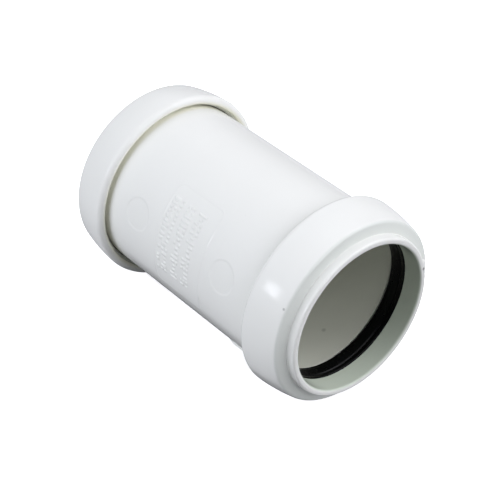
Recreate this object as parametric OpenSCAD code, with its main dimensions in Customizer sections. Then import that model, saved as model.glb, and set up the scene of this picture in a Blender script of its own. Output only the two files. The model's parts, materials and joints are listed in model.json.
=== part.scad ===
// Push fit waste pipe coupling, lying on its side, in millimetres.
// The pipe axis is X, +X is the near mouth, +Z is up, and the origin is the
// centre of the fitting. A moulded body with a socket at each end carries two
// rubber seal rings, each held in its seat by a retaining cap that snaps over
// a bead on the body and can turn on it.

/* [Body] */
// Outside diameter of the body tube
body_dia = 48; // [44:0.1:54]
// Bore of both sockets and both caps, a running clearance on the pipe
bore_dia = 41.5; // [38:0.1:44]
// Length of the body moulding, under the caps included
body_len = 75.8; // [60:0.1:100]
// Bore through the pipe stop at the middle
stop_dia = 37.4; // [34:0.1:41]
// Width of the pipe stop
stop_width = 2.6; // [1.5:0.1:6]

/* [Seal seat] */
// Bore of the seat that holds the seal ring
seat_dia = 45.6; // [43:0.1:46.4]
// Depth of the seat from the end of the body
seat_depth = 4.9; // [3:0.1:8]

/* [Snap bead] */
// Height of the bead above the body tube
bead_height = 0.9; // [0.4:0.05:1.5]
// Where the bead starts, from the middle of the fitting
bead_start = 33.2; // [28:0.1:36]
// Width of the bead, lead-in slope included
bead_width = 2.7; // [1.5:0.1:5]
// Clearance between the bead and the groove it turns in
bead_gap = 0.2; // [0.05:0.05:0.5]
// Running clearance between the cap and the end of the body
turn_gap = 0.08; // [0.02:0.01:0.1]

/* [Cap] */
// Half length of the fitting, middle to mouth
half_len = 43.8; // [36:0.1:56]
// Diameter of the cap at its rear rim
cap_rear_dia = 54.6; // [50:0.1:60]
// Diameter of the cap where the side would meet the shoulder
cap_front_dia = 51.5; // [49:0.1:58]
// Where the rear rim of the cap lies, from the middle
cap_rear = 28.9; // [24:0.1:32]
// Tilt of the shoulder's face from square to the axis
shoulder_tilt = 10; // [0:1:45]
// Length of the rounding between the shoulder and the side
shoulder_round = 1.3; // [0.2:0.05:1.5]
// Outside diameter of the nose ring around the mouth
nose_dia = 45.1; // [43:0.1:48]
// Length of the nose ring
nose_len = 2.5; // [1:0.1:6]
// Outer rounding of the nose ring
nose_round = 0.9; // [0.1:0.05:1.2]
// Inner rounding of the mouth
mouth_round = 0.6; // [0.1:0.05:0.8]
// Diameter of the open annulus at the rear of the cap
skirt_dia = 49.8; // [48.4:0.1:52]
// Outer rounding of the rear rim
rim_round = 1.5; // [0.1:0.05:1.6]
// Inner rounding of the rear rim
rim_inner = 0.8; // [0.1:0.05:0.8]

/* [Seal ring] */
// Inside diameter at the sealing lip
lip_dia = 40.5; // [38:0.1:41.4]
// Inside diameter of the front bead of the ring
seal_bead_dia = 41.4; // [40:0.1:43]
// Clearance between the ring and its seat
seal_gap = 0.05; // [0.02:0.01:0.2]

/* [Surface marks] */
// Angle of the marked side of the body, from +Y towards +Z
marks_angle = 160; // [0:1:359]
// Radius of the two round mould marks
mark_radius = 4.4; // [2:0.1:6]
// Depth of the round mould marks
mark_depth = 0.15; // [0.05:0.05:0.5]
// Bars in each row of the plain raised pattern
bars_per_row = 20; // [4:1:24]
// Angle that a row of bars covers
bar_span = 52; // [20:1:80]
// Height of the raised bars
bar_height = 0.15; // [0.1:0.05:0.5]
// Height of the low pad on the underside
pad_height = 0.5; // [0.2:0.05:1]

/* [Hidden] */
body_r = body_dia / 2;
bore_r = bore_dia / 2;
stop_r = stop_dia / 2;
seat_r = seat_dia / 2;
bead_r = body_r + bead_height;
body_end = body_len / 2;
seat_floor = body_end - seat_depth;
bead_end = bead_start + bead_width;
cap_rear_r = cap_rear_dia / 2;
cap_front_r = cap_front_dia / 2;
nose_r = nose_dia / 2;
nose_root = half_len - nose_len;
shoulder_x = nose_root - (cap_front_r - nose_r) * tan(shoulder_tilt);
skirt_r = skirt_dia / 2;
lip_r = lip_dia / 2;
seal_bead_r = seal_bead_dia / 2;
seal_out_r = seat_r - seal_gap;
flange_x = body_end + 0.15;
groove_r = bead_r + bead_gap;
hook_r = body_r + bead_gap + 0.05;
fine = 160;

// Points of an arc in the half plane, [radius, distance along the axis].
function arc(c, r, a0, a1, n) =
    [for (k = [0:n]) let (a = a0 + (a1 - a0) * k / n)
        [c[0] + r * cos(a), c[1] + r * sin(a)]];

// The side of the cap swells gently towards the rear rim.
function side_r(x) = cap_rear_r
    - (cap_rear_r - cap_front_r) * pow((x - cap_rear) / (shoulder_x - cap_rear), 2);

// The rounding of the shoulder is a curve through its corner's two tangents.
shoulder_in = [cap_front_r - shoulder_round * cos(shoulder_tilt),
    shoulder_x + shoulder_round * sin(shoulder_tilt)];
shoulder_out = [side_r(shoulder_x - shoulder_round), shoulder_x - shoulder_round];
shoulder = [for (k = [0:8]) let (u = k / 8)
    (1 - u) * (1 - u) * shoulder_in + 2 * u * (1 - u) * [cap_front_r, shoulder_x] + u * u * shoulder_out];

side_top = cap_rear + rim_round;
side = [for (k = [2:10]) let (x = shoulder_x + (side_top - shoulder_x) * k / 10)
    [side_r(x), x]];

module along_x(flip = 1) {
    rotate([0, 90 * flip, 0]) children();
}

// ---- body ----
// One half of the body from the pipe stop out to the end and back.
body_half = [
    [stop_r, stop_width / 2 - 0.6],
    [stop_r + 0.6, stop_width / 2],
    [bore_r, stop_width / 2],
    [bore_r, seat_floor - 0.35],
    [bore_r + 0.35, seat_floor],
    [seat_r, seat_floor],
    [seat_r, body_end - 0.3],
    [seat_r + 0.3, body_end],
    [body_r - 0.3, body_end],
    [body_r, body_end - 0.5],
    [body_r, bead_end],
    [bead_r, bead_end - 1.4],
    [bead_r, bead_start + 0.3],
    [bead_r - 0.3, bead_start],
    [body_r, bead_start]
];

module body_outline() {
    n = len(body_half);
    polygon(concat(
        body_half,
        [for (k = [1:n]) [body_half[n - k][0], -body_half[n - k][1]]]
    ));
}

// Stands its child on the body, pointing out at the given angle.
module on_body(x, angle) {
    translate([x, 0, 0]) rotate([angle - 90, 0, 0]) children();
}

module round_mark(x) {
    intersection() {
        on_body(x, marks_angle) cylinder(r = mark_radius, h = body_r + 2, $fn = fine);
        difference() {
            along_x() cylinder(r = body_r + 2, h = 60, center = true, $fn = fine);
            along_x() cylinder(r = body_r - mark_depth, h = 62, center = true, $fn = fine);
        }
    }
}

// Rows of short plain bars, a generic raised pattern with no lettering.
// Some are missing, some are shorter and some are wider.
rows = [[3.2, 3.0], [-1.0, 2.8], [-6.0, 4.0]];

module bar_rows() {
    for (row = [0:2]) for (i = [0:bars_per_row - 1])
        if ((3 * i + 5 * row) % 11 != 0) {
            short = (5 * i + 2 * row) % 3 == 0;
            wide = (7 * i + 3 * row) % 4 == 1;
            length = rows[row][1];
            shift = short ? length * 0.2 * ((i + row) % 3 - 1) : 0;
            on_body(rows[row][0] + shift, marks_angle + bar_span * ((i + 0.5) / bars_per_row - 0.5))
                translate([0, 0, body_r - 0.4 + (0.4 + bar_height) / 2])
                    cube([length * (short ? 0.55 : 1), wide ? 0.9 : 0.55, 0.4 + bar_height], center = true);
        }
}

module low_pad() {
    on_body(0, 222)
        rotate([-90, 0, 0]) translate([15.6, -(body_r + pad_height), -2.2])
            linear_extrude(height = 4.4)
                polygon([[0, 1.4], [0, pad_height], [2.0, 0], [10.6, 0], [11.4, pad_height], [11.4, 1.4]]);
}

module coupling_body() {
    color([0.93, 0.94, 0.94]) {
        difference() {
            union() {
                along_x() rotate_extrude($fn = fine) body_outline();
                bar_rows();
                low_pad();
            }
            round_mark(16.6);
            round_mark(-17.7);
        }
    }
}

// ---- retaining caps ----
module cap_outline() {
    polygon(concat(
        arc([bore_r + mouth_round, half_len - mouth_round], mouth_round, 180, 90, 4),
        arc([nose_r - nose_round, half_len - nose_round], nose_round, 90, 0, 6),
        [[nose_r, nose_root]],
        shoulder,
        side,
        arc([side_r(side_top) - rim_round, side_top], rim_round, 0, -90, 8),
        arc([skirt_r + rim_inner, cap_rear + rim_inner], rim_inner, -90, -180, 6),
        [
            [skirt_r, cap_rear + 1.2],
            [hook_r, cap_rear + 2.0],
            [hook_r, bead_start - 0.15],
            [groove_r, bead_start - 0.15],
            [groove_r, bead_end - 1.0],
            [body_r + turn_gap, bead_end + 0.4],
            [body_r + turn_gap, flange_x],
            [bore_r, flange_x]
        ]
    ));
}

module gate_nib() {
    on_body(half_len - 1.5, 16) translate([0, 0, nose_r - 0.5])
        cylinder(r = 0.9, h = 0.8, $fn = 48);
}

module cap_shape(flip) {
    color([0.95, 0.955, 0.955]) along_x(flip) rotate_extrude($fn = fine) cap_outline();
}

module retaining_cap_a() {
    color([0.95, 0.955, 0.955]) union() { cap_shape(1); gate_nib(); }
}

module retaining_cap_b() {
    color([0.95, 0.955, 0.955]) union() { cap_shape(-1); mirror([1, 0, 0]) gate_nib(); }
}

// ---- seal rings ----
// A front bead fills the seat, and a lip leans inwards behind it with a
// relief groove at its back so that it can flex over the pipe.
module seal_outline() {
    f = seat_floor + 0.05;
    e = body_end + 0.05;
    polygon([
        [seal_out_r, f],
        [seal_out_r, e - 0.3],
        [seal_out_r - 0.3, e],
        [seal_bead_r + 0.75, e],
        [seal_bead_r + 0.35, e - 0.12],
        [seal_bead_r + 0.1, e - 0.38],
        [seal_bead_r, e - 0.7],
        [seal_bead_r, e - 1.1],
        [seal_bead_r + 0.22, e - 1.45],
        [seal_bead_r + 0.1, e - 1.75],
        [lip_r, f + 1.6],
        [lip_r, f + 0.6],
        [lip_r + 0.2, f + 0.35],
        [lip_r + 0.6, f + 0.45],
        [seal_bead_r + 0.75, e - 2.4],
        [seal_bead_r + 1.2, e - 2.4],
        [seal_bead_r + 1.4, f]
    ]);
}

module seal_ring(flip) {
    color([0.06, 0.06, 0.065]) along_x(flip) rotate_extrude($fn = fine) seal_outline();
}

module seal_ring_a() { seal_ring(1); }
module seal_ring_b() { seal_ring(-1); }

coupling_body();
retaining_cap_a();
retaining_cap_b();
seal_ring_a();
seal_ring_b();
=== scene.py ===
"""Looks of the push fit coupling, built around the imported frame. All sizes are in metres.

The axis of the fitting is X and the near mouth is at +X. Every visible piece is a turned shape: a profile of
(distance along the axis, radius) corners, each corner with its own fillet, swept round the axis in code. The
body's mould marks and raised pattern, and the gate on each cap, are worked into the same surfaces.
"""

import json
import math

import bpy
import numpy as np
from mathutils import Matrix, Vector


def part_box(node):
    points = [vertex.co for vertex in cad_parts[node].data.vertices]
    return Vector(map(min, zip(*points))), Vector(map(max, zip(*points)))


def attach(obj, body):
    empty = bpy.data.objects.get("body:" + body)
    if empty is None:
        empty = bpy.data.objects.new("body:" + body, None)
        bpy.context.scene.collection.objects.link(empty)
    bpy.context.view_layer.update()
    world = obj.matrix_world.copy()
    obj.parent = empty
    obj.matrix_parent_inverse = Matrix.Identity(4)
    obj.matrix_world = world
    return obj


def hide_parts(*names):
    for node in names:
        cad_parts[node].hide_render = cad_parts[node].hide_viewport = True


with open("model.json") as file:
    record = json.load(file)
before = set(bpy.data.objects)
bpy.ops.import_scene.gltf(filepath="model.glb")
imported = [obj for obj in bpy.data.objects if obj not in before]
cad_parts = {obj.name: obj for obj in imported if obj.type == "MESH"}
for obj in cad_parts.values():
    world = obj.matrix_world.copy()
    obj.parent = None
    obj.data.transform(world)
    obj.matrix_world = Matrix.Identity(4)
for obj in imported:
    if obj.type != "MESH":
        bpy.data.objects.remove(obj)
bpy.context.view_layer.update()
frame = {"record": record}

MM = 0.001

# ---- sizes, from the frame where it has them ----
MOUNTS = {m["name"]: m for m in frame["record"]["mounts"]}
BORE_R = MOUNTS["mouth_a"]["dims"]["r_mm"] * MM
LIP_R = MOUNTS["seal_a"]["dims"]["r_mm"] * MM
CAP_LOW, CAP_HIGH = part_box("retaining_cap_a")
SEAL_LOW, SEAL_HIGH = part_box("seal_ring_a")
BODY_LOW, BODY_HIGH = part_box("coupling_body")

HALF_LEN = CAP_HIGH.x
CAP_REAR = CAP_LOW.x
CAP_REAR_R = CAP_HIGH.z
BODY_END = BODY_HIGH.x
SEAT_FLOOR = SEAL_LOW.x - 0.05 * MM
SEAT_R = SEAL_HIGH.z + 0.05 * MM
FLANGE_X = BODY_END + 0.15 * MM

BODY_R = 24.0 * MM
STOP_R = 18.7 * MM
STOP_WIDTH = 2.6 * MM
BEAD_START = 33.2 * MM
BEAD_END = 35.9 * MM
BEAD_R = BODY_R + 0.9 * MM
CAP_FRONT_R = 25.75 * MM
NOSE_R = 22.55 * MM
NOSE_ROOT = HALF_LEN - 2.5 * MM
SHOULDER_TILT = math.radians(10)
SHOULDER_X = NOSE_ROOT - (CAP_FRONT_R - NOSE_R) * math.tan(SHOULDER_TILT)
SHOULDER_ROUND = 0.8 * MM
SKIRT_R = 24.9 * MM
RIM_ROUND = 1.5 * MM
RIM_INNER = 0.8 * MM
HOOK_R = BODY_R + 0.25 * MM
GROOVE_R = BEAD_R + 0.2 * MM
TURN_R = BODY_R + 0.08 * MM
SEAL_BEAD_R = 20.7 * MM

MARKS_ANGLE = 160.0
FLOOR_Z = -CAP_REAR_R
SEAL_STEPS = 360


# ---- turned shapes ----
def fillet(before, corner, after, radius, steps):
    """Points of an arc that rounds a corner, with a support point just before and after it."""
    b, c, a = (np.array(p, float) for p in (before, corner, after))
    u, v = b - c, a - c
    len_u, len_v = np.linalg.norm(u), np.linalg.norm(v)
    u, v = u / len_u, v / len_v
    half = math.acos(max(-1.0, min(1.0, float(u @ v)))) / 2
    if radius <= 0 or half > math.radians(88):
        return [tuple(c)]
    setback = min(radius / math.tan(half), 0.45 * len_u, 0.45 * len_v)
    radius = setback * math.tan(half)
    centre = c + (u + v) / np.linalg.norm(u + v) * radius / math.sin(half)
    start, end = c + u * setback, c + v * setback
    turn = math.pi - 2 * half
    points = [tuple(start + u * 0.04 * min(len_u, 2 * MM))]
    for k in range(steps + 1):
        t = k / steps
        s, e = start - centre, end - centre
        p = centre + (math.sin((1 - t) * turn) * s + math.sin(t * turn) * e) / math.sin(turn)
        points.append(tuple(p))
    points.append(tuple(end + v * 0.04 * min(len_v, 2 * MM)))
    return points


def outline(corners, steps=5):
    """A closed profile from corners (x, r) or (x, r, fillet radius)."""
    n = len(corners)
    points = []
    for k, corner in enumerate(corners):
        radius = corner[2] if len(corner) > 2 else 0
        points += fillet(corners[k - 1][:2], corner[:2], corners[(k + 1) % n][:2], radius, steps)
    return points


def subdivided(points, longest, closed=True):
    """The same line with no stretch longer than the one given."""
    result = []
    n = len(points)
    for k in range(n if closed else n - 1):
        a, b = np.array(points[k]), np.array(points[(k + 1) % n])
        parts = max(1, math.ceil(np.linalg.norm(b - a) / longest))
        result += [tuple(a + (b - a) * j / parts) for j in range(parts)]
    if not closed:
        result.append(tuple(points[-1]))
    return result


def turned(name, profile, angles, shape=None):
    """Sweeps a closed (x, r) profile through the angles, in radians, all the way round the X axis.
    shape(x, r, angle) gives a radius to add, on arrays."""
    x = np.array([p[0] for p in profile])[:, None]
    r = np.array([p[1] for p in profile])[:, None]
    a = np.array(angles)[None, :]
    radius = r + (shape(x, r, a) if shape else 0) + 0 * a
    points = np.stack([x + 0 * a, radius * np.cos(a), radius * np.sin(a)], axis=-1).reshape(-1, 3)
    rings, around = len(profile), len(angles)
    i = np.arange(rings)[:, None]
    j = np.arange(around)[None, :]
    i2, j2 = (i + 1) % rings, (j + 1) % around
    corners = [i * around + j, i * around + j2, i2 * around + j2, i2 * around + j]
    quads = np.stack(corners, axis=-1).reshape(-1, 4)
    area = sum(profile[k][0] * profile[(k + 1) % rings][1] - profile[(k + 1) % rings][0] * profile[k][1]
               for k in range(rings))
    if area > 0:
        quads = quads[:, ::-1]
    mesh = bpy.data.meshes.new(name)
    mesh.from_pydata(points.tolist(), [], quads.tolist())
    mesh.polygons.foreach_set("use_smooth", [True] * len(mesh.polygons))
    mesh.update()
    piece = bpy.data.objects.new(name, mesh)
    bpy.context.scene.collection.objects.link(piece)
    return piece


def even_angles(count):
    return [2 * math.pi * k / count for k in range(count)]


def mirrored(profile):
    return [(-x, r) for x, r in profile][::-1]


# ---- surface marks of the body ----
def soft_step(distance, width):
    """1 inside, 0 outside, with a smooth slope of the given width."""
    t = np.clip(0.5 - distance / width, 0, 1)
    return t * t * (3 - 2 * t)


def rounded_box(u, v, half_u, half_v, corner):
    """Signed distance to a rounded rectangle."""
    du, dv = np.abs(u) - (half_u - corner), np.abs(v) - (half_v - corner)
    outside = np.hypot(np.maximum(du, 0), np.maximum(dv, 0))
    return outside + np.minimum(np.maximum(du, dv), 0) - corner


def around_body(angle, middle):
    """Distance along the body's surface from an angle in degrees, wrapped."""
    d = (angle - math.radians(middle) + math.pi) % (2 * math.pi) - math.pi
    return d * BODY_R


ROUND_MARKS = [16.6 * MM, -17.7 * MM]
ROUND_MARK_R = 4.4 * MM
ROUND_MARK_DEPTH = 0.15 * MM
BAR_ROWS = [(3.2 * MM, 3.0 * MM), (-1.0 * MM, 2.8 * MM), (-6.0 * MM, 4.0 * MM)]
CELLS_PER_ROW = 17
BAR_SPAN = 52.0
BAR_HEIGHT = 0.24 * MM
# Each cell of a row holds short pads: (place along the cell, length), as shares of the row's length.
CELL_KINDS = [
    [(0.0, 0.95)],
    [(-0.34, 0.26), (0.34, 0.26)],
    [(0.22, 0.5)],
    [(-0.36, 0.2), (0.02, 0.22), (0.38, 0.2)],
    [(-0.26, 0.45), (0.36, 0.22)],
    [(0.05, 0.34)],
    [(-0.2, 0.55), (0.4, 0.16)],
]


def bars():
    """Middle (x, angle) and size (along x, around) of each pad of the plain raised pattern.
    No pad touches the next one, so that they stay plain bars."""
    found = []
    for row, (x, length) in enumerate(BAR_ROWS):
        for i in range(CELLS_PER_ROW):
            kind = (5 * i + 3 * row + i * i // 3) % len(CELL_KINDS)
            angle = MARKS_ANGLE + BAR_SPAN * ((i + 0.5) / CELLS_PER_ROW - 0.5)
            for k, (place, share) in enumerate(CELL_KINDS[kind]):
                width = (0.55 + 0.1 * ((3 * i + k + row) % 3)) * MM
                found.append((x + place * length, angle, share * length, width))
    return found


def body_marks(x, r, angle):
    """Height of the mould marks over the plain tube."""
    height = 0 * (x + angle)
    for middle in ROUND_MARKS:
        d = np.hypot(x - middle, around_body(angle, MARKS_ANGLE)) - ROUND_MARK_R
        height = height - ROUND_MARK_DEPTH * soft_step(d, 0.6 * MM)
    raised = 0 * height
    for bar_x, bar_angle, length, width in bars():
        d = rounded_box(x - bar_x, around_body(angle, bar_angle), length / 2, width / 2, 0.2 * MM)
        raised = np.maximum(raised, soft_step(d, 0.4 * MM))
    height = height + BAR_HEIGHT * raised
    insert = rounded_box(x, around_body(angle, MARKS_ANGLE + 2), 8.8 * MM, 15.2 * MM, 2.0 * MM)
    height = height + 0.12 * MM * soft_step(np.abs(insert) - 0.1 * MM, 0.4 * MM)
    pad = rounded_box(x - 21.4 * MM, around_body(angle, 222), 5.6 * MM, 2.2 * MM, 0.4 * MM)
    ramp = np.clip((x - 15.6 * MM) / (1.6 * MM), 0, 1)
    height = height + 0.5 * MM * ramp * soft_step(pad, 0.5 * MM)
    return np.where(r > BODY_R - 0.05 * MM, height, 0) * (np.abs(x) < 30 * MM)


# ---- the pieces ----
def body_profile():
    stop = STOP_WIDTH / 2
    half = [
        (stop - 0.6 * MM, STOP_R, 0.2 * MM),
        (stop, STOP_R + 0.6 * MM, 0.2 * MM),
        (stop, BORE_R, 0.25 * MM),
        (SEAT_FLOOR, BORE_R, 0.35 * MM),
        (SEAT_FLOOR, SEAT_R, 0.15 * MM),
        (BODY_END, SEAT_R, 0.25 * MM),
        (BODY_END, BODY_R, 0.35 * MM),
        (BEAD_END, BODY_R, 0.3 * MM),
        (BEAD_END - 1.4 * MM, BEAD_R, 0.2 * MM),
        (BEAD_START, BEAD_R, 0.25 * MM),
        (BEAD_START, BODY_R, 0.1 * MM),
    ]
    corners = half + [(-x, *rest) for x, *rest in half[::-1]]
    return outline(corners)


def with_fine_marks(profile):
    """Short steps where the outside carries marks, longer ones elsewhere."""
    points = []
    n = len(profile)
    for k in range(n):
        a, b = profile[k], profile[(k + 1) % n]
        outside = min(a[1], b[1]) > BODY_R - 0.01 * MM and min(abs(a[0]), abs(b[0])) < BEAD_START
        points += subdivided([a, b], 0.16 * MM if outside else 1.2 * MM, closed=False)[:-1]
    return points


def body_angles():
    """Angles round the body, closer together where it carries marks."""
    zones = [(0, 126, 1.0), (126, 196, 0.3), (196, 215, 1.0), (215, 229, 0.4), (229, 360, 1.0)]
    return [math.radians(a) for low, high, step in zones for a in np.arange(low, high - step / 2, step)]


def cap_side():
    """The rounded shoulder, the gently swelling side and the rear rim, rounded on its outside and inside."""
    points = []
    start = np.array([SHOULDER_X + SHOULDER_ROUND * math.sin(SHOULDER_TILT),
                      CAP_FRONT_R - SHOULDER_ROUND * math.cos(SHOULDER_TILT)])
    corner = np.array([SHOULDER_X, CAP_FRONT_R])
    end = np.array([SHOULDER_X - SHOULDER_ROUND, side_radius(SHOULDER_X - SHOULDER_ROUND)])
    for k in range(13):
        u = k / 12
        points.append(tuple((1 - u) ** 2 * start + 2 * u * (1 - u) * corner + u ** 2 * end))
    rim_start = CAP_REAR + RIM_ROUND
    for k in range(2, 14):
        x = SHOULDER_X - (SHOULDER_X - rim_start) * k / 14
        points.append((x, side_radius(x)))
    for k in range(13):
        a = math.pi / 2 * k / 12
        points.append((rim_start - RIM_ROUND * math.sin(a),
                       side_radius(rim_start) - RIM_ROUND * (1 - math.cos(a))))
    for k in range(9):
        a = math.pi / 2 * k / 8
        points.append((CAP_REAR + RIM_INNER * (1 - math.cos(a)), SKIRT_R + RIM_INNER * (1 - math.sin(a))))
    return points


def side_radius(x):
    share = (x - CAP_REAR) / (SHOULDER_X - CAP_REAR)
    return CAP_REAR_R - (CAP_REAR_R - CAP_FRONT_R) * share ** 2


def cap_profile():
    front = [
        (FLANGE_X, BORE_R, 0.12 * MM),
        (HALF_LEN, BORE_R, 0.6 * MM),
        (HALF_LEN, NOSE_R, 0.65 * MM),
        (NOSE_ROOT, NOSE_R, 0.1 * MM),
    ]
    inside = [
        (CAP_REAR + 1.2 * MM, SKIRT_R, 0.1 * MM),
        (CAP_REAR + 2.0 * MM, HOOK_R, 0.2 * MM),
        (BEAD_START - 0.15 * MM, HOOK_R, 0.1 * MM),
        (BEAD_START - 0.15 * MM, GROOVE_R, 0.1 * MM),
        (BEAD_END - 1.0 * MM, GROOVE_R, 0.2 * MM),
        (BEAD_END + 0.4 * MM, TURN_R, 0.2 * MM),
        (FLANGE_X, TURN_R, 0.1 * MM),
    ]
    return outline(front + cap_side() + inside)


def with_fine_nose(profile):
    """Short steps on the outside of the nose ring, where the gate was trimmed."""
    points = []
    for k, a in enumerate(profile):
        b = profile[(k + 1) % len(profile)]
        on_nose = min(a[0], b[0]) > NOSE_ROOT - 0.1 * MM and min(a[1], b[1]) > NOSE_R - 1.2 * MM
        points += subdivided([a, b], 0.2 * MM if on_nose else 0.9 * MM, closed=False)[:-1]
    return points


def cap_angles():
    """Angles round the cap, closer together at the gate."""
    zones = [(0, 3, 1.0), (3, 24, 0.3), (24, 360, 1.0)]
    return [math.radians(a) for low, high, step in zones for a in np.arange(low, high - step / 2, step)]


def gate_nib(x, r, angle):
    """The trimmed moulding gate on the nose ring: a low nib and its tail, a pit and a fine scratch."""
    side = np.abs(x) - (HALF_LEN - 0.9 * MM)
    nib = rounded_box(side, around_body(angle, 15.6), 0.75 * MM, 1.15 * MM, 0.6 * MM)
    tail = rounded_box(side - 0.3 * MM, around_body(angle, 11.2), 0.4 * MM, 0.5 * MM, 0.3 * MM)
    pit = np.hypot(side - 0.25 * MM, around_body(angle, 13.2)) - 0.42 * MM
    scratch = rounded_box(side - 0.55 * MM, around_body(angle, 8.2), 0.15 * MM, 1.1 * MM, 0.12 * MM)
    height = np.maximum(0.62 * MM * soft_step(nib, 0.45 * MM), 0.35 * MM * soft_step(tail, 0.4 * MM))
    height = height - 0.8 * MM * soft_step(pit, 0.4 * MM) - 0.3 * MM * soft_step(scratch, 0.25 * MM)
    return np.where((r > NOSE_R - 1.0 * MM) & (np.abs(x) > NOSE_ROOT), height, 0)


def seal_profile():
    """A front bead, a shallow groove, a lip that leans inwards, and a relief groove behind it."""
    f, e = SEAL_LOW.x, SEAL_HIGH.x
    out = SEAL_HIGH.z
    corners = [
        (f, out, 0.15 * MM),
        (e, out, 0.3 * MM),
        (e, SEAL_BEAD_R + 0.75 * MM, 0.1 * MM),
        (e - 0.15 * MM, SEAL_BEAD_R, 0.5 * MM),
        (e - 1.2 * MM, SEAL_BEAD_R, 0.2 * MM),
        (e - 1.45 * MM, SEAL_BEAD_R + 0.3 * MM, 0.12 * MM),
        (e - 1.75 * MM, SEAL_BEAD_R + 0.05 * MM, 0.2 * MM),
        (f + 1.6 * MM, LIP_R, 0.5 * MM),
        (f + 0.45 * MM, LIP_R, 0.25 * MM),
        (f + 0.5 * MM, LIP_R + 0.55 * MM, 0.15 * MM),
        (e - 2.4 * MM, SEAL_BEAD_R + 0.75 * MM, 0.2 * MM),
        (e - 2.4 * MM, SEAL_BEAD_R + 1.2 * MM, 0.2 * MM),
        (f, SEAL_BEAD_R + 1.4 * MM, 0.1 * MM),
    ]
    return outline(corners)


def build_pieces():
    made = {}
    body = with_fine_marks(body_profile())
    made["coupling_body"] = turned("body_moulding", body, body_angles(), body_marks)
    cap = with_fine_nose(cap_profile())
    made["retaining_cap_a"] = turned("cap_near", cap, cap_angles(), gate_nib)
    made["retaining_cap_b"] = turned("cap_far", mirrored(cap), cap_angles(), gate_nib)
    seal = subdivided(seal_profile(), 0.6 * MM)
    made["seal_ring_a"] = turned("seal_near", seal, even_angles(SEAL_STEPS))
    made["seal_ring_b"] = turned("seal_far", mirrored(seal), even_angles(SEAL_STEPS))
    return made


# ---- materials ----
def new_material(name):
    material = bpy.data.materials.new(name)
    material.use_nodes = True
    nodes, links = material.node_tree.nodes, material.node_tree.links
    return material, nodes, links, nodes["Principled BSDF"]


def noise(nodes, links, scale, detail=3.0, roughness=0.5, coords=None):
    texture = nodes.new("ShaderNodeTexNoise")
    texture.inputs["Scale"].default_value = scale
    texture.inputs["Detail"].default_value = detail
    texture.inputs["Roughness"].default_value = roughness
    links.new(coords.outputs["Object"], texture.inputs["Vector"])
    return texture.outputs["Fac"]


def remap(nodes, links, value, low, high, to_low, to_high):
    node = nodes.new("ShaderNodeMapRange")
    node.inputs["From Min"].default_value = low
    node.inputs["From Max"].default_value = high
    node.inputs["To Min"].default_value = to_low
    node.inputs["To Max"].default_value = to_high
    links.new(value, node.inputs["Value"])
    return node.outputs["Result"]


def mix_colour(nodes, links, factor, a, b):
    node = nodes.new("ShaderNodeMix")
    node.data_type = "RGBA"
    links.new(factor, node.inputs["Factor"])
    for socket, value in ((node.inputs["A"], a), (node.inputs["B"], b)):
        if isinstance(value, tuple):
            socket.default_value = value
        else:
            links.new(value, socket)
    return node.outputs["Result"]


def bump(nodes, links, height, distance, strength=1.0, normal=None):
    node = nodes.new("ShaderNodeBump")
    node.inputs["Distance"].default_value = distance
    node.inputs["Strength"].default_value = strength
    links.new(height, node.inputs["Height"])
    if normal is not None:
        links.new(normal, node.inputs["Normal"])
    return node.outputs["Normal"]


WHITE = (0.83, 0.84, 0.80, 1)
# Painted shade colours: the bore's wall, and darker deep inside the bore.
BORE_SHADE_COLOUR = (0.55, 0.61, 0.51, 1)
DEEP_BORE_SHADE_COLOUR = (0.565, 0.575, 0.495, 1)
# Painted shade, tinted yellow, in the crevice where the cap's rim meets the body.
CREVICE_SHADE_COLOUR = (0.82, 0.815, 0.69, 1)
# Painted shade on the cap's shoulder, between the side and the nose ring.
SHOULDER_SHADE_COLOUR = (0.73, 0.76, 0.715, 1)
SPECK_COLOUR = (0.3, 0.3, 0.27, 1)
# Dark colour of the dirt flecks, also used as painted shade in the gate's pit.
DIRT_AND_SHADE_COLOUR = (0.07, 0.07, 0.06, 1)


def along_and_radius(nodes, links, coords):
    """Distance from the middle along the axis, and radius, as shader values."""
    parts = nodes.new("ShaderNodeSeparateXYZ")
    links.new(coords.outputs["Object"], parts.inputs["Vector"])
    along = nodes.new("ShaderNodeMath")
    along.operation = "ABSOLUTE"
    links.new(parts.outputs["X"], along.inputs[0])
    across = nodes.new("ShaderNodeCombineXYZ")
    links.new(parts.outputs["Y"], across.inputs["Y"])
    links.new(parts.outputs["Z"], across.inputs["Z"])
    radius = nodes.new("ShaderNodeVectorMath")
    radius.operation = "LENGTH"
    links.new(across.outputs["Vector"], radius.inputs[0])
    return along.outputs["Value"], radius.outputs["Value"]


def product(nodes, links, a, b):
    node = nodes.new("ShaderNodeMath")
    node.operation = "MULTIPLY"
    links.new(a, node.inputs[0])
    links.new(b, node.inputs[1])
    return node.outputs["Value"]


def fleck(nodes, links, coords, colour, place, size, dark):
    """A small dark fleck of the given radius, at (x, r, degrees round the axis)."""
    x, r, angle = place[0], place[1], math.radians(place[2])
    distance = nodes.new("ShaderNodeVectorMath")
    distance.operation = "DISTANCE"
    links.new(coords.outputs["Object"], distance.inputs[0])
    distance.inputs[1].default_value = (x, r * math.cos(angle), r * math.sin(angle))
    mask = remap(nodes, links, distance.outputs["Value"], size, 0.4 * size, 0, dark)
    return mix_colour(nodes, links, mask, colour, DIRT_AND_SHADE_COLOUR)


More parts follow.
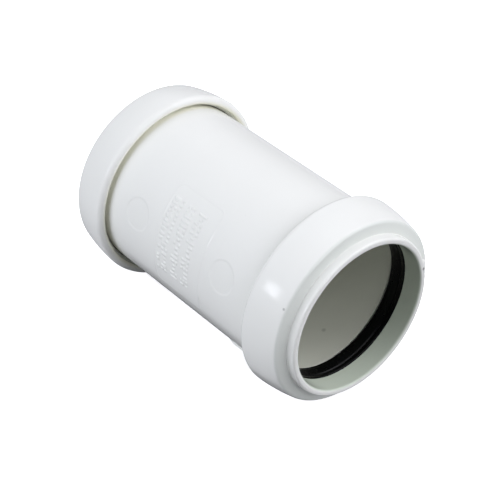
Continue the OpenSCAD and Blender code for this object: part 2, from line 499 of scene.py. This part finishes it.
def plastic(name, colour, crevice_from, crevice_to, flecks):
    """Satin white polypropylene: faint flow clouding, rare specks, a fine moulded skin and slow waviness.
    Painted shade darkens it in the bore and on the cap's shoulder, and a yellow-tinted painted shade lies
    where the cap and the body meet."""
    material, nodes, links, shader = new_material(name)
    coords = nodes.new("ShaderNodeTexCoord")
    along, radius = along_and_radius(nodes, links, coords)
    clouds = noise(nodes, links, 40, 2, 0.4, coords)
    shade = tuple(c * 0.975 for c in colour[:3]) + (1,)
    tinted = mix_colour(nodes, links, remap(nodes, links, clouds, 0.25, 0.75, 0, 1), colour, shade)
    # Painted shade: the bore's wall is darkened.
    bore_shade = remap(nodes, links, radius, BORE_R + 0.5 * MM, BORE_R + 0.05 * MM, 0, 1)
    tinted = mix_colour(nodes, links, bore_shade, tinted, BORE_SHADE_COLOUR)
    # Painted shade: darker still towards the inner end of the bore.
    deep_bore_shade = product(nodes, links, bore_shade, remap(nodes, links, along, 37 * MM, 36 * MM, 0, 1))
    tinted = mix_colour(nodes, links, deep_bore_shade, tinted, DEEP_BORE_SHADE_COLOUR)
    # Painted shade, tinted yellow, where the cap's rim meets the body.
    near_gap = product(nodes, links, remap(nodes, links, along, crevice_from, crevice_to, 0, 1),
                       remap(nodes, links, radius, 26.2 * MM, 25.2 * MM, 0, 1))
    outside = product(nodes, links, near_gap, remap(nodes, links, radius, 23.0 * MM, 23.5 * MM, 0, 1))
    tinted = mix_colour(nodes, links, outside, tinted, CREVICE_SHADE_COLOUR)
    # Painted shade: the cap's shoulder is darkened.
    past_side = remap(nodes, links, along, SHOULDER_X - 0.6 * MM, SHOULDER_X - 0.2 * MM, 0, 1)
    before_nose = remap(nodes, links, along, NOSE_ROOT + 0.2 * MM, NOSE_ROOT - 0.1 * MM, 0, 1)
    on_face = product(nodes, links, past_side, before_nose)
    shoulder_shade = product(nodes, links, on_face, remap(nodes, links, radius, NOSE_R, NOSE_R + 0.3 * MM, 0, 1))
    tinted = mix_colour(nodes, links, shoulder_shade, tinted, SHOULDER_SHADE_COLOUR)
    specks = noise(nodes, links, 620, 1, 0.4, coords)
    speck_mask = remap(nodes, links, specks, 0.84, 0.87, 0, 0.4)
    tinted = mix_colour(nodes, links, speck_mask, tinted, SPECK_COLOUR)
    for place, size, dark in flecks:
        tinted = fleck(nodes, links, coords, tinted, place, size, dark)
    links.new(tinted, shader.inputs["Base Color"])
    satin = noise(nodes, links, 200, 3, 0.5, coords)
    links.new(remap(nodes, links, satin, 0.3, 0.7, 0.13, 0.16), shader.inputs["Roughness"])
    slow = bump(nodes, links, noise(nodes, links, 42, 1, 0.3, coords), 0.00008)
    skin = bump(nodes, links, noise(nodes, links, 2600, 2, 0.5, coords), 0.000004, 1.0, slow)
    links.new(skin, shader.inputs["Normal"])
    shader.inputs["IOR"].default_value = 1.49
    shader.inputs["Specular IOR Level"].default_value = 0.35
    return material


def rubber(name):
    """Matt black moulded rubber with a fine grain and a little bloom."""
    material, nodes, links, shader = new_material(name)
    coords = nodes.new("ShaderNodeTexCoord")
    bloom = noise(nodes, links, 180, 4, 0.6, coords)
    colour = mix_colour(nodes, links, remap(nodes, links, bloom, 0.4, 0.75, 0, 1),
                        (0.0014, 0.0016, 0.0016, 1), (0.0026, 0.0029, 0.0028, 1))
    links.new(colour, shader.inputs["Base Color"])
    links.new(remap(nodes, links, bloom, 0.3, 0.7, 0.24, 0.32), shader.inputs["Roughness"])
    grain = bump(nodes, links, noise(nodes, links, 3200, 2, 0.5, coords), 0.000008)
    links.new(grain, shader.inputs["Normal"])
    shader.inputs["IOR"].default_value = 1.5
    shader.inputs["Specular IOR Level"].default_value = 0.11
    return material


# ---- camera, floor and light ----
CAMERA_AZIMUTH = math.radians(49.64)
CAMERA_ELEVATION = math.radians(38.20)
CAMERA_DISTANCE = 0.4070
CAMERA_LENS = 110.75
AIM_RIGHT = 0.76 * MM
AIM_UP = -3.57 * MM


def look_at_origin():
    """The camera's three directions: right, up and back, for its azimuth and elevation."""
    a, e = CAMERA_AZIMUTH, CAMERA_ELEVATION
    back = Vector((math.sin(a) * math.cos(e), -math.cos(a) * math.cos(e), math.sin(e)))
    right = Vector((math.cos(a), math.sin(a), 0))
    return right, back.cross(right), back


def make_camera():
    data = bpy.data.cameras.new("camera")
    data.lens = CAMERA_LENS
    data.sensor_width = 36
    data.clip_start = 0.01
    data.clip_end = 20
    camera = bpy.data.objects.new("camera", data)
    right, up, back = look_at_origin()
    turn = Matrix((right, up, back)).transposed().to_4x4()
    camera.matrix_world = Matrix.Translation(back * CAMERA_DISTANCE + right * AIM_RIGHT + up * AIM_UP) @ turn
    bpy.context.scene.collection.objects.link(camera)
    bpy.context.scene.camera = camera


def soft_box(name, azimuth, elevation, side, power, tint, matt, glossy):
    """A square area light that faces the origin from the given direction."""
    a, e = math.radians(azimuth), math.radians(elevation)
    towards = Vector((math.cos(e) * math.cos(a), math.cos(e) * math.sin(a), math.sin(e)))
    data = bpy.data.lights.new(name, "AREA")
    data.size = side
    data.energy = power
    data.color = tint
    light = bpy.data.objects.new(name, data)
    light.location = towards * LIGHT_DISTANCE
    light.visible_diffuse = matt
    light.visible_glossy = glossy
    light.rotation_euler = (-towards).to_track_quat("-Z", "Y").to_euler()
    bpy.context.scene.collection.objects.link(light)


def make_floor():
    """A pale matt floor, with a little glow of its own so that its shadows stay faint."""
    side = 3.0
    mesh = bpy.data.meshes.new("floor")
    z = FLOOR_Z - 0.02 * MM
    corners = [(-side, -side, z), (side, -side, z), (side, side, z), (-side, side, z)]
    mesh.from_pydata(corners, [], [(0, 1, 2, 3)])
    floor = bpy.data.objects.new("floor", mesh)
    bpy.context.scene.collection.objects.link(floor)
    material, nodes, links, shader = new_material("pale_floor")
    coords = nodes.new("ShaderNodeTexCoord")
    grain = noise(nodes, links, 30, 3, 0.5, coords)
    links.new(mix_colour(nodes, links, grain, (0.93, 0.93, 0.93, 1), (0.95, 0.95, 0.95, 1)),
              shader.inputs["Base Color"])
    shader.inputs["Roughness"].default_value = 0.9
    shader.inputs["Specular IOR Level"].default_value = 0.1
    shader.inputs["Emission Color"].default_value = (1, 1, 1, 1)
    shader.inputs["Emission Strength"].default_value = 0.7
    mesh.materials.append(material)
    floor.visible_diffuse = False
    floor.visible_glossy = False
    floor.visible_shadow = False


def make_shade_card():
    """A black card under the fitting keeps the light from below off its underside."""
    mesh = bpy.data.meshes.new("shade_card")
    z = FLOOR_Z - 0.04 * MM
    x0, x1, y0, y1 = (side * MM for side in (-42, 40, -24, 30))
    mesh.from_pydata([(x0, y0, z), (x1, y0, z), (x1, y1, z), (x0, y1, z)], [], [(0, 1, 2, 3)])
    card = bpy.data.objects.new("shade_card", mesh)
    bpy.context.scene.collection.objects.link(card)
    material, nodes, links, shader = new_material("black_card")
    shader.inputs["Base Color"].default_value = (0.02, 0.02, 0.02, 1)
    shader.inputs["Roughness"].default_value = 0.9
    mesh.materials.append(material)
    card.visible_camera = False
    card.visible_shadow = False


LIGHT_DISTANCE = 1.2
NEUTRAL = (0.945, 0.943, 1.0)
COOL = (0.905, 0.923, 1.0)
# name, azimuth, elevation, side, power, tint, seen in the matt shading, seen as a reflection
SOFT_BOXES = [
    ("overhead", 90, 65, 0.8, 1.1, NEUTRAL, True, True),
    ("behind_left", 135, 35, 0.8, 0.88, NEUTRAL, True, True),
    ("behind_right", 60, 45, 0.9, 5.2, NEUTRAL, True, True),
    ("right_back", 45, 35, 0.8, 3.4, NEUTRAL, True, True),
    ("right", 0, 35, 0.8, 6.2, NEUTRAL, True, True),
    ("front_right", 315, 5, 0.8, 1.3, COOL, True, False),
    ("front_left", 248, 25, 1.1, 14.2, COOL, True, False),
    ("window", 250, 21, 0.22, 1.25, COOL, False, True),
]
GLOW_BEHIND = 0.575
GLOW_LEFT = 0.24
GLOW_BELOW = 0.30


def world_glow():
    """Even light from behind the object, from its far end and from the pale floor below it."""
    world = bpy.data.worlds.new("studio")
    world.use_nodes = True
    nodes, links = world.node_tree.nodes, world.node_tree.links
    coords = nodes.new("ShaderNodeTexCoord")
    parts = nodes.new("ShaderNodeSeparateXYZ")
    links.new(coords.outputs["Generated"], parts.inputs["Vector"])
    total = None
    for axis, end, most in (("Y", 1, GLOW_BEHIND), ("X", -1, GLOW_LEFT), ("Z", -1, GLOW_BELOW)):
        glow = remap(nodes, links, parts.outputs[axis], 0, end, 0, most)
        if total is not None:
            add = nodes.new("ShaderNodeMath")
            add.operation = "ADD"
            links.new(total, add.inputs[0])
            links.new(glow, add.inputs[1])
            glow = add.outputs["Value"]
        total = glow
    background = nodes["Background"]
    background.inputs["Color"].default_value = (0.93, 0.935, 1.0, 1)
    links.new(total, background.inputs["Strength"])
    bpy.context.scene.world = world


def make_light():
    for box in SOFT_BOXES:
        soft_box(*box)
    world_glow()
    bpy.context.scene.view_settings.view_transform = "Standard"


# ---- the scene ----
make_camera()
make_floor()
make_shade_card()
make_light()

# Flecks of dirt, painted shade in the pit of the trimmed gate, and a row of small dark dots along the front
# edge of the nose beside it: (place, radius, strength).
BODY_FLECKS = [
    ((24.4 * MM, BORE_R, -73.5), 0.75 * MM, 0.3),
]
CAP_FLECKS = [
    ((39.9 * MM, 25.85 * MM, 150.0), 0.45 * MM, 0.45),
    # Painted shade in the pit of the trimmed gate.
    ((HALF_LEN, NOSE_R - 0.55 * MM, 12.6), 0.62 * MM, 0.75),
]
# A row of small dark dots along the front edge of the nose.
CAP_FLECKS += [((HALF_LEN, NOSE_R - 0.6 * MM, angle), 0.26 * MM, 0.35) for angle in range(5, 12)]
body_plastic = plastic("body_plastic", WHITE, CAP_REAR - 0.9 * MM, CAP_REAR + 0.3 * MM, BODY_FLECKS)
cap_plastic = plastic("cap_plastic", WHITE, CAP_REAR + 1.3 * MM, CAP_REAR + 0.2 * MM, CAP_FLECKS)
seal_rubber = rubber("seal_rubber")
FINISH = {
    "coupling_body": ("fitting", "body_plastic", body_plastic),
    "retaining_cap_a": ("cap_a", "cap_plastic", cap_plastic),
    "retaining_cap_b": ("cap_b", "cap_plastic", cap_plastic),
    "seal_ring_a": ("fitting", "seal_rubber", seal_rubber),
    "seal_ring_b": ("fitting", "seal_rubber", seal_rubber),
}
for node, piece in build_pieces().items():
    body, slot, material = FINISH[node]
    piece.data.materials.append(material)
    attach(piece, body)
    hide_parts(node)
